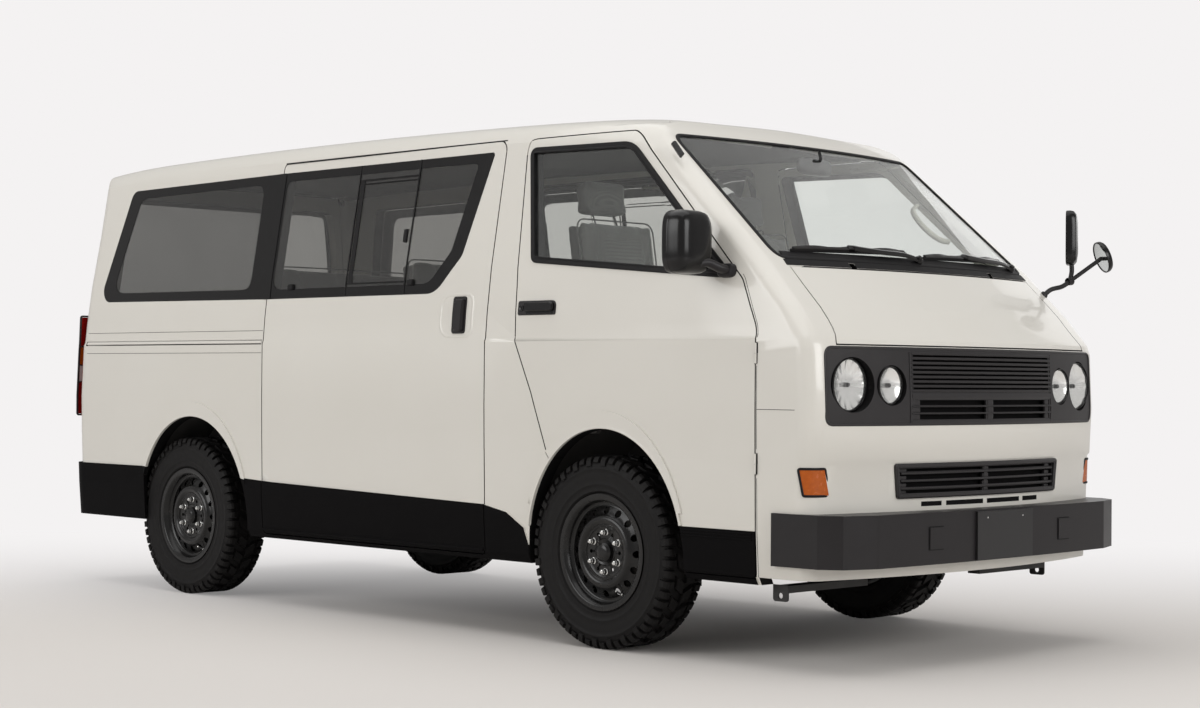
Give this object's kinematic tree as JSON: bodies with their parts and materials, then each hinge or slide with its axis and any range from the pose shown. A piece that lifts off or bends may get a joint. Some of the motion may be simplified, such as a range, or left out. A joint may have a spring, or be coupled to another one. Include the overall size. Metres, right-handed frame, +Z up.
{
  "type": "one-box passenger van",
  "caption": "Ivory one-box passenger van with dark tinted side glass, black box bumpers, black steel wheels and a corner mirror on a bent stalk.",
  "frame": {"origin": "on the ground under the middle of the van's length and width", "axes": "+X forward to the nose, +Y to the van's left, +Z up"},
  "size_m": [4.6438, 2.05, 1.955],
  "materials": {
    "paint": "gloss",
    "black_plastic": "textured",
    "black_trim": "satin",
    "glass_clear": "clear",
    "glass_tint": "dark tint",
    "lens": "clear",
    "amber": "gloss",
    "red_lens": "gloss",
    "steel_black": "satin",
    "tyre": "matte",
    "cast": "raw",
    "chassis": "satin",
    "fabric": "woven",
    "dash": "textured",
    "plate": "satin"
  },
  "bodies": {
    "body_shell": {"side_frames": "paint", "roof_panel": "paint", "floor_pan": "chassis", "nose_panel": "paint", "headlamp_panel": "black_trim", "headlamps": "lens", "marker_lamps": "amber", "lower_grille": "black_plastic", "front_bumper": "black_plastic", "number_plate": "plate", "windscreen": "glass_clear", "wipers": "black_plastic", "fender_mirror": "black_plastic", "sliding_doors": "paint", "side_glass": "glass_tint", "tail_lamps": "red_lens", "rear_bumper": "black_plastic", "dashboard": "dash", "seats": "fabric", "engine_block": "cast", "underframe": "chassis", "suspension_arms": "chassis", "rear_axle": "chassis", "driveline": "chassis", "fuel_tank": "chassis"},
    "bonnet": {"bonnet": "paint"},
    "tailgate": {"tailgate": "paint", "tailgate_glass": "glass_tint"},
    "steering_wheel": {"steering_wheel": "black_plastic"},
    "door_right": {"front_door_right": "paint", "front_glass_right": "glass_clear", "door_mirror_right": "black_plastic"},
    "knuckle_right": {"knuckle_right": "cast"},
    "wheel_front_right": {"rim_front_right": "steel_black", "tyre_front_right": "tyre"},
    "wheel_rear_right": {"rim_rear_right": "steel_black", "tyre_rear_right": "tyre"},
    "door_left": {"front_door_left": "paint", "front_glass_left": "glass_clear", "mirror_blank_left": "black_plastic"},
    "knuckle_left": {"knuckle_left": "cast"},
    "wheel_front_left": {"rim_front_left": "steel_black", "tyre_front_left": "tyre"},
    "wheel_rear_left": {"rim_rear_left": "steel_black", "tyre_rear_left": "tyre"}
  },
  "joints": [
    {"name": "door_hinge_right", "type": "hinge", "parent": "body_shell", "child": "door_right", "pos_m": [1.91643, -0.847, 1], "axis": [0, 0, 1], "range_deg": [0, 65]},
    {"name": "door_hinge_left", "type": "hinge", "parent": "body_shell", "child": "door_left", "pos_m": [1.91643, 0.847, 1], "axis": [0, 0, -1], "range_deg": [0, 65]},
    {"name": "bonnet_hinge", "type": "hinge", "parent": "body_shell", "child": "bonnet", "pos_m": [1.93293, 0, 1.343], "axis": [0, -1, 0], "range_deg": [0, 40]},
    {"name": "tailgate_hinge", "type": "hinge", "parent": "body_shell", "child": "tailgate", "pos_m": [-2.21157, 0, 1.926], "axis": [0, 1, 0], "range_deg": [0, 84]},
    {"name": "steer_right", "type": "hinge", "parent": "body_shell", "child": "knuckle_right", "pos_m": [1.17793, -0.655, 0.342], "axis": [0, 0, 1], "range_deg": [-33, 33]},
    {"name": "steer_left", "type": "hinge", "parent": "body_shell", "child": "knuckle_left", "pos_m": [1.17793, 0.655, 0.342], "axis": [0, 0, 1], "range_deg": [-33, 33]},
    {"name": "steering_column", "type": "hinge", "parent": "body_shell", "child": "steering_wheel", "pos_m": [1.68293, -0.395, 1.205], "axis": [-0.6157, 0, 0.788], "range_deg": [-470, 470]},
    {"name": "spin_front_right", "type": "hinge", "parent": "knuckle_right", "child": "wheel_front_right", "pos_m": [1.17793, -0.737, 0.342], "axis": [0, 1, 0], "continuous": true},
    {"name": "spin_rear_right", "type": "hinge", "parent": "body_shell", "child": "wheel_rear_right", "pos_m": [-1.39207, -0.724, 0.342], "axis": [0, 1, 0], "continuous": true},
    {"name": "spin_front_left", "type": "hinge", "parent": "knuckle_left", "child": "wheel_front_left", "pos_m": [1.17793, 0.737, 0.342], "axis": [0, 1, 0], "continuous": true},
    {"name": "spin_rear_left", "type": "hinge", "parent": "body_shell", "child": "wheel_rear_left", "pos_m": [-1.39207, 0.724, 0.342], "axis": [0, 1, 0], "continuous": true}
  ],
  "couplings": [
    {"joint": "steer_left", "follows": "steer_right", "ratio": 1},
    {"joint": "steering_column", "follows": "steer_right", "ratio": 14}
  ]
}
